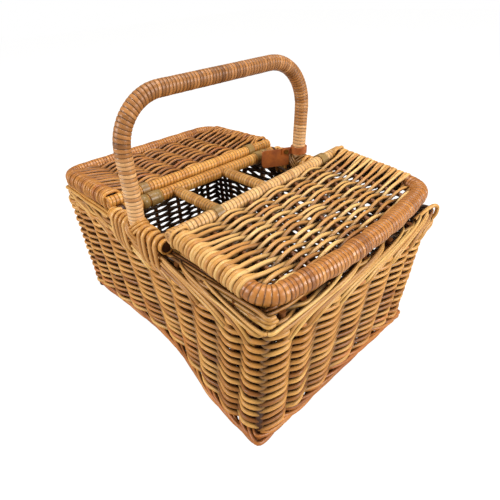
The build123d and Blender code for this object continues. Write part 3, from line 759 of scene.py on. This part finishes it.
for corner in (FRONT_RIGHT, BACK_LEFT):
    border_rods(rim, CORNER_PROFILE, [(corner + 0.1, 1, 0.0), (corner + 0.5, 1, -5.5)],
                radius=2.9, tint=0.3, warm=0.1)
    border_rods(rim, CORNER_PROFILE, [(corner - 0.1, -1, 0.0), (corner - 0.5, -1, -5.5)],
                radius=2.8, tint=0.4, warm=0.1)
    border_rods(rim, LONG_PROFILE,
                [(corner, -1, 0.0), (corner + 0.15, -1, -5.4), (corner + 0.05, -1, -10.6)],
                radius=2.6, tint=0.45, warm=0.1)
    for inward, lower in INNER_RODS:
        shifted = [(t, z - lower, offset + inward) for t, z, offset in INNER_PROFILE]
        border_rods(rim, shifted, [(corner, 1, 0.0)], radius=2.6, tint=0.6, warm=0.2,
                    outer=inward + 2.0)
build(rim, "rim_rods", border, "basket", "willow",
      "rim_border_front", "rim_border_back", "rim_border_left", "rim_border_right")

FOOT_PROFILE = ((0.0, 17.0, -3.0), (0.36, 15.0, 4.8), (1.0, 11.6, 8.2), (1.8, 8.4, 6.6),
                (2.3, 8.0, -1.0), (2.6, 9.6, -6.0))
foot = new_store()
for first, last, _ in WALL_RANGES:
    starts = stake_starts(first - 1, last, 1, ((0.0, 0.0), (0.5, 1.0)))
    border_rods(foot, FOOT_PROFILE, starts, radius=3.1, tint=0.5, warm=0.5)
build(foot, "foot_rods", willow_foot, "basket", "willow", "foot_border")

# ---- base
BASE_RODS, BASE_X, BASE_Z = 81, 201.0, 12.5
BASE_INSET = 5.5
STICKS, STICK_PITCH, BASE_SWING = 9, 29.0, 4.4
base = new_store()
for row in range(BASE_RODS):
    x = -BASE_X + row * 2 * BASE_X / (BASE_RODS - 1)
    low, high = BASE_INSET - long_wall_y(x, 12.0), long_wall_y(-x, 12.0) - BASE_INSET
    controls = [(x, low, BASE_Z)]
    for k in range(STICKS):
        swing = BASE_SWING if (k + row) % 2 else -BASE_SWING
        y = (k - STICKS // 2) * STICK_PITCH
        controls.append((x + rng.normal(0, 0.3), y, BASE_Z + swing))
    controls.append((x, high, BASE_Z))
    add_tube(base, spline(controls, 5), 2.4, ref=(1, 0, 0), sides=6, tint=drawn(0.5, 0.2),
             warm=0.4, shade=0.45)
build(base, "base_woven", willow, "basket", "willow", "base_weave")

# ---- rails, bars and hoop
RAIL_Y, RAIL_Z = 164.0, 216.0
RAIL_X, RAIL_END_X, RAIL_END_R = 64.5, 65.6, 8.9
SIDES = {"front": -1.0, "back": 1.0}
ENDS = {"left": -1.0, "right": 1.0}
BAR_X, BAR_Y, BAR_Z = 55.0, 153.5, 221.0
CROSS_X, CROSS_Y = 46.5, {"front": -62.7, "back": 36.8}
# A strap rises from the weave, goes over the rail in an arc and, near the handle, down again.
# Each point before and after the arc: (distance outwards from the rail, z).
STRAP_X, STRAP_NEAR_X, STRAP_R = (-50.5, -39.5, -29.0, -19.0, 19.5, 29.5, 44.0, 56.0), 40.0, 12.0
STRAP_UP = [(-4.0, 170.0), (7.0, 178.0), (11.0, 190.0), (STRAP_R, 204.0), (STRAP_R, 212.0)]
STRAP_ARC, SHORT_ARC = (15.0, 40.0, 65.0, 90.0, 115.0, 140.0, 165.0, 180.0), 5
STRAP_DOWN = [(-STRAP_R, 204.0), (3.0 - STRAP_R, 190.0)]
for side, sign in SIDES.items():
    y = sign * RAIL_Y
    rail = new_store()
    add_wrap(rail, line((-RAIL_X, y, RAIL_Z), (RAIL_X, y, RAIL_Z)), radius=10.0, pitch=5.6,
             ref=UP, tint=0.3, crease=1.4)
    for end_x in (-RAIL_END_X, RAIL_END_X):
        ring = ellipse((end_x, y, RAIL_Z), (0, RAIL_END_R, 0), (0, 0, RAIL_END_R), 32)
        add_tube(rail, ring, 1.5, ref=(1, 0, 0), closed=True, tint=0.3, warm=0.2)
    build(rail, f"rail_winding_{side}", bar_cane, "basket", "cane", f"rail_wrap_{side}")

    straps = new_store()
    for x in STRAP_X:
        near = abs(x) < STRAP_NEAR_X
        arc = [radians(a) for a in (STRAP_ARC if near else STRAP_ARC[:SHORT_ARC])]
        section = STRAP_UP + [(STRAP_R * cos(a), RAIL_Z + STRAP_R * sin(a)) for a in arc]
        if near:
            section = section + STRAP_DOWN
        controls = [(x, y + sign * out, z) for out, z in section]
        add_tube(straps, spline(controls, 4), 2.2, ref=(1, 0, 0), sides=12, flatten=1.7,
                 tint=float(rng.uniform(0.1, 0.6)), warm=0.15)
    build(straps, f"rail_straps_{side}", pale_cane, "basket", "pale_cane", f"rail_loops_{side}")

HOOP = [(0, -164, 226.5), (0, -164, 250), (0, -168.5, 385), (0, 168.5, 385), (0, 164, 250),
        (0, 164, 226.5)]
HOOP_RADII = (52, 62, 78, 52)
# Painted shade on the hoop's winding: darker over its top by this much, rising from this height
# over this run.
HOOP_TOP_SHADE, HOOP_PALE_Z, HOOP_TOP_RUN = 0.62, 250.0, 110.0
hoop_path = fillet_path(HOOP, HOOP_RADII)
hoop_height = np.clip((hoop_path[:, 2] - HOOP_PALE_Z) / HOOP_TOP_RUN, 0.0, 1.0)
hoop = new_store()
add_wrap(hoop, hoop_path, radius=11.0, pitch=5.3, ref=(1, 0, 0), sides=32, tint=0.1,
         spread=0.22, crease=2.0, darken=HOOP_TOP_SHADE * hoop_height)
build(hoop, "handle_winding", handle_cane, "basket", "handle_cane", "handle_wrap")

for end, sign in ENDS.items():
    store = new_store()
    add_wrap(store, line((sign * BAR_X, -BAR_Y, BAR_Z), (sign * BAR_X, BAR_Y, BAR_Z)),
             radius=9.5, pitch=5.8, ref=UP, tint=0.4, crease=1.4)
    build(store, f"divider_winding_{end}", bar_cane, "basket", "cane", f"divider_wrap_{end}")
for side, y in CROSS_Y.items():
    store = new_store()
    add_wrap(store, line((-CROSS_X, y, BAR_Z), (CROSS_X, y, BAR_Z)), radius=8.5, pitch=5.4,
             ref=UP, tint=0.45, crease=1.4)
    build(store, f"cross_winding_{side}", cross_cane, "basket", "cane", f"cross_wrap_{side}")

# Loops of strands over the handle's feet: (tilt in degrees, half width, half depth).
LASHES = ((-45.0, 17.9, 11.3), (45.0, 18.0, 13.2))
STRAND_SHIFTS, STRAND_TUCK = (-4.6, 0.0, 4.6), 0.1
# On each side: how far a loop stands off, its strands' radius and their shade.
STRANDS = {"front": (1.3, 2.3, 0.0), "back": (0.3, 1.6, 0.55)}
for side, sign in SIDES.items():
    stand_off, strand_r, strand_shade = STRANDS[side]
    store = new_store()
    for tilt, half_a, half_b in LASHES:
        t = radians(tilt)
        run, over = np.array((cos(t), 0.0, -sin(t))), np.array((sin(t), 0.0, cos(t)))
        for shift in STRAND_SHIFTS:
            out = stand_off - abs(shift) * STRAND_TUCK
            centre = np.array((0.0, sign * RAIL_Y, RAIL_Z)) + over * shift
            loop = ellipse(centre, run * (half_a + out), (0.0, half_b + out, 0.0), 40)
            add_tube(store, loop, strand_r, ref=over, sides=10, closed=True,
                     tint=float(rng.uniform(0.1, 0.6)), warm=0.2, shade=strand_shade)
    build(store, f"handle_foot_strands_{side}", pale_cane, "basket", "pale_cane",
          f"handle_lashing_{side}")

BAND_PLACES = ((-BAR_X, -96.0), (-BAR_X, 133.0), (BAR_X, -64.0), (-BAR_X, -119.0))
BAND_SECTION = ((-5.0, 9.9), (-4.6, 10.8), (4.6, 10.8), (5.0, 9.9))  # (along the bar, radius)
store = new_store()
for x, y in BAND_PLACES:
    add_tube(store, [(x, y + v, BAR_Z) for v, _ in BAND_SECTION], [r for _, r in BAND_SECTION],
             sides=32, warm=0.1)
build(store, "band_rings", band_cane, "basket", "cane")

# ---- lids
# A lid lies in its own plane: u from its hinge bar outwards, v along the bar, w up.
HINGE = {"left": (-76.0, 229.0), "right": (77.5, 241.5)}
OUTER = {"left": (-236.5, 225.5), "right": (224.0, 224.7)}
TILT = {"left": 0.0, "right": 2.65}
BOW = {"left": 0.0, "right": 12.6}
BOW_V, BOW_R = 60.0, 500.0
SIDE_V, CORNER_R = 156.0, 24.0
FRONT_V = {"left": 1.0, "right": -1.0}
STAKE_PITCH, LID_STAKES = 40.0, 7
LID_ROWS = {"left": 20, "right": 27}
LID_PITCH = {"left": 7.4, "right": 5.2}
FIRST_U, LAST_INSET = 13.0, 14.5
# The rods' radius at the front and the back, and half of what brings a pair of rows together.
LID_ROD = {"left": (3.15, 2.7), "right": (2.75, 2.2)}
LID_PAIRS = {"left": (0.5, 0.8), "right": (0.4, 0.6)}
LID_TONE = {"left": 0.54, "right": 0.5}
LID_MATERIAL = {"left": far_lid, "right": near_lid}
# Painted shade of the lid rods, darkest deep in the weave and on their flanks, on both faces.
LID_PAINTED_SHADE = (5.2, -2.6, 0.94, 0.8)
LID_SWAY, SWAY_NOISE = 2.1, 0.35
# Where a wrapped row ends, and where a looped one dips before its loop: (inset, w).
WRAPPED_END, LOOP_LEAD = ((4.0, -3.0), (13.0, 1.0)), ((36.0, -4.5), (22.0, -7.0))
# The loop goes round the side rod, by these angles, and is a little thicker.
SIDE_ROD_R, LOOP_V, LOOP_SWELL = 8.0, SIDE_V - 8.0, 0.4
LOOP_ANGLES = (-62.0, -90.0, -125.0, -160.0, 165.0, 130.0, 95.0, 68.0)
# Closed rings round the side rods beside the hinge bar, with corners at (v, w).
COLLAR_U, COLLAR_RADII = {"left": 7.0, "right": 6.6}, (7.0, 7.5, 7.5, 7.0)
COLLAR = ((143.0, 0.0), (143.0, 11.9), (167.6, 11.9), (167.6, -11.9), (143.0, -11.9), (143.0, 0.0))
EDGE_SWELL = {"left": 0.6, "right": 1.5}
# The winding of the hinge bar ends in a flat coil.
HINGE_CANE = {"left": bar_cane, "right": hinge_cane}
HINGE_V, COIL_V, COIL_RADII = 164.5, 165.0, (7.6, 4.8, 1.8)


def lid_axes(end):
    """A lid's origin on its hinge, and its three axes."""
    (hx, hz), (ox, oz) = HINGE[end], OUTER[end]
    t = radians(TILT[end])
    sign = ENDS[end]
    y = np.array((0, sign * cos(t), sign * sin(t)))
    z = unit(np.cross((ox - hx, 0, oz - hz), y))
    return np.array((hx, 0, hz)), np.cross(y, z), y, z


def lid_reach(end):
    """Distance from a lid's hinge to its outer rod."""
    (hx, hz), (ox, oz) = HINGE[end], OUTER[end]
    return ((ox - hx) ** 2 + (oz - hz) ** 2) ** 0.5


def to_world(end, local):
    """Points of a lid's plane in the shared frame."""
    origin, x, y, z = lid_axes(end)
    local = np.asarray(local, float)
    return origin + local[:, :1] * x + local[:, 1:2] * y + local[:, 2:3] * z


def lid_plan(end):
    """Middle line of the rod round a lid, in the lid's own plane."""
    reach, bow = lid_reach(end), BOW[end]
    corners = [(0, -SIDE_V, 0), (reach, -SIDE_V, 0)]
    radii = [CORNER_R]
    if bow > 0:
        corners += [(reach + bow, -BOW_V, 0), (reach + bow, BOW_V, 0)]
        radii += [BOW_R, BOW_R]
    corners += [(reach, SIDE_V, 0), (0, SIDE_V, 0)]
    radii += [CORNER_R]
    return fillet_path(corners, radii)


def lid_row(end, u, row, rod_r, limit, back_shift, front_shift):
    """Control points of one lid row, looped over the side rods where they are not wrapped."""
    wrapped = u > lid_reach(end) - CORNER_R - 1.0
    turn_r = SIDE_ROD_R + rod_r

    def side_points(sign):
        shift = front_shift if sign == FRONT_V[end] else back_shift
        if wrapped:
            return [(u, sign * (limit - inset), w) for inset, w in WRAPPED_END]
        low_u = u + shift - 0.5 * LID_PITCH[end]
        ring = [(low_u, sign * (SIDE_V - inset), w) for inset, w in LOOP_LEAD]
        for a in LOOP_ANGLES:
            lean = 0.35 * rod_r * (a % 360 - 180) / 90
            ring.append((u + shift - lean + rng.normal(0, 0.2),
                         sign * (SIDE_V - turn_r * cos(radians(a))), turn_r * sin(radians(a))))
        return ring

    points = side_points(-1.0)
    for k in range(LID_STAKES):
        v = (k - LID_STAKES // 2) * STAKE_PITCH
        if abs(v) > limit - 14.0:
            continue
        sway = LID_SWAY + rod_r + rng.normal(0, SWAY_NOISE)
        sway = sway if (k + row) % 2 else -sway
        points.append((u + rng.normal(0, 1.2), v + rng.normal(0, 1.5), sway))
    return points + side_points(1.0)[::-1]


def lid_depth(end, local, centres):
    """Painted shade of a lid row: from its height in the weave, or its distance from the side rod.
    """
    beyond = np.abs(local[:, 1]) - SIDE_V
    looped = beyond > -14.0
    offsets = np.where(looped, np.hypot(local[:, 2], beyond) - 5.0, local[:, 2])
    from_rod = np.stack([0 * beyond, np.sign(local[:, 1]) * beyond, local[:, 2]], -1)
    away = unit(np.where(looped[:, None], from_rod, UP) @ np.array(lid_axes(end)[1:]))
    return painted_cavity_shade(centres, offsets, away, *LID_PAINTED_SHADE, both=True)


for end in ENDS:
    reach = lid_reach(end)
    plan = lid_plan(end)
    _, u_axis, v_axis, w_axis = lid_axes(end)
    weave = new_store()
    run = reach + BOW[end] - LAST_INSET - FIRST_U
    for row in range(LID_ROWS[end]):
        u = FIRST_U + run * row / (LID_ROWS[end] - 1)
        limit = np.abs(plan[plan[:, 0] >= u][:, 1]).max()
        front_r, back_r = LID_ROD[end]
        front_r, back_r = front_r * rng.uniform(0.93, 1.07), back_r * rng.uniform(0.9, 1.1)
        partner = 1.0 if row % 2 == 0 else -1.0
        front_pair, back_pair = LID_PAIRS[end]
        local = spline(lid_row(end, u, row, (front_r + back_r) / 2, limit, partner * back_pair,
                               partner * front_pair), 5)
        along_v = np.clip(0.5 + 0.5 * FRONT_V[end] * local[:, 1] / SIDE_V, 0, 1)
        size = back_r + (front_r - back_r) * along_v + LOOP_SWELL * (np.abs(local[:, 1]) > LOOP_V)
        centres = to_world(end, local)
        add_tube(weave, centres, size, ref=u_axis, sides=9, tint=drawn(LID_TONE[end], 0.24),
                 warm=drawn(0.2, 0.28), depth=lid_depth(end, local, centres))
    for sign in (-1.0, 1.0):
        corners = [(COLLAR_U[end], sign * v, w) for v, w in COLLAR]
        ring = to_world(end, fillet_path(corners, COLLAR_RADII, 2.0)[:-1])
        add_tube(weave, ring, 2.4 + rng.normal(0, 0.12), ref=u_axis, sides=9, closed=True,
                 tint=drawn(LID_TONE[end] - 0.2, 0.12), warm=0.1)
    build(weave, f"lid_rods_{end}", LID_MATERIAL[end], f"lid_{end}", "lid_willow",
          f"lid_weave_{end}")

    rod_path = to_world(end, plan)
    lead = reach - CORNER_R - 3.0
    at = np.arange(lead, path_length(rod_path) - lead, 1.0)
    edge_v = path_at(plan, at)[:, 1]
    swell = EDGE_SWELL[end] * np.abs(np.sin(pi * edge_v / STAKE_PITCH))
    edge = new_store()
    add_wrap(edge, path_at(rod_path, at), radius=11.5, pitch=5.4, ref=w_axis, sides=32, warm=0.2,
             crease=1.4, swell=swell * (np.abs(edge_v) < SIDE_V - CORNER_R))
    build(edge, f"lid_edge_winding_{end}", edge_cane, f"lid_{end}", "edge_cane",
          f"lid_edge_wrap_{end}")

    bar = new_store()
    add_wrap(bar, line(*to_world(end, [(0, -HINGE_V, 0), (0, HINGE_V, 0)])), radius=9.2,
             pitch=6.0, ref=w_axis, tint=0.35, crease=1.4)
    for sign in (-1.0, 1.0):
        for coil_r in COIL_RADII:
            coil = ellipse((0, sign * COIL_V, 0), (coil_r, 0, 0), (0, 0, coil_r), 28)
            add_tube(bar, to_world(end, coil), 1.7, ref=v_axis, closed=True, tint=0.6, warm=0.2)
    build(bar, f"hinge_winding_{end}", HINGE_CANE[end], f"lid_{end}", "cane", f"hinge_wrap_{end}")

# ---- CAD nodes that show as they are
KEPT = {
    rod_wood: ["rail_front", "rail_back", "handle_core", "divider_bar_left", "divider_bar_right",
               "cross_bar_front", "cross_bar_back", "hinge_bar_left", "hinge_bar_right",
               "lid_frame_left", "lid_frame_right", "corner_feet"],
    stake_wood: ["stakes_front", "stakes_back", "stakes_left", "stakes_right", "base_sticks",
                 "lid_stakes_left", "lid_stakes_right"],
    olive_cane: ["hinge_loop_left_front", "hinge_loop_left_back", "hinge_loop_right_front",
                 "hinge_loop_right_back"],
    leather: ["tag_plate", "tag_strap"],
    brass: ["tag_stud"],
}
for material, names in KEPT.items():
    for name in names:
        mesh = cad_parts[name].data
        mesh.materials.clear()
        mesh.materials.append(material)

# ---- floor, world and lamps
FLOOR, FLOOR_DROP = 6.0, 0.0003
LAMP_TARGET = (0, 0, 0.15)
# Each lamp's place, width and power.
LAMPS = {"top": ((0.1, 0.3, 2.0), 0.9, 26.0), "right": ((1.8, 0.7, 0.9), 0.8, 34.0),
         "front": ((-0.7, -1.8, 1.0), 0.7, 31.0)}


def floor_material():
    """White with the basket's shadow for the camera, and a plain diffuse surface for light."""
    material, tree = new_material("pale_floor")
    plain = add_node(tree, "BsdfDiffuse", {"Color": (0.55, 0.54, 0.52, 1)})
    soft = add_node(tree, "BsdfDiffuse", {"Color": (0.2, 0.2, 0.2, 1)})
    glowing = add_node(tree, "Emission", {"Color": (1, 1, 1, 1), "Strength": 0.93})
    both = add_node(tree, "AddShader", {0: soft.outputs[0], 1: glowing.outputs[0]})
    camera_pick(tree, plain, both, "OutputMaterial")
    return material


floor_mesh = bpy.data.meshes.new("floor")
floor_corners = [(-FLOOR, -FLOOR, 0), (FLOOR, -FLOOR, 0), (FLOOR, FLOOR, 0), (-FLOOR, FLOOR, 0)]
floor_mesh.from_pydata(floor_corners, [], [(0, 1, 2, 3)])
floor = bpy.data.objects.new("floor", floor_mesh)
bpy.context.scene.collection.objects.link(floor)
floor.location.z = -FLOOR_DROP
floor_mesh.materials.append(floor_material())

world = bpy.data.worlds.new("studio")
bpy.context.scene.world = world
world.use_nodes = True
world.node_tree.nodes.clear()
lit = add_node(world.node_tree, "Background", {"Color": (1.0, 0.97, 0.92, 1), "Strength": 0.32})
shown = add_node(world.node_tree, "Background", {"Color": (1, 1, 1, 1), "Strength": 1.0})
camera_pick(world.node_tree, lit, shown, "OutputWorld")

for name, (place, width, power) in LAMPS.items():
    data = bpy.data.lights.new(name, "AREA")
    data.size, data.energy = width, power
    item = bpy.data.objects.new(name, data)
    bpy.context.scene.collection.objects.link(item)
    item.location = place
    aim = Vector(LAMP_TARGET) - Vector(place)
    item.rotation_euler = aim.to_track_quat("-Z", "Y").to_euler()
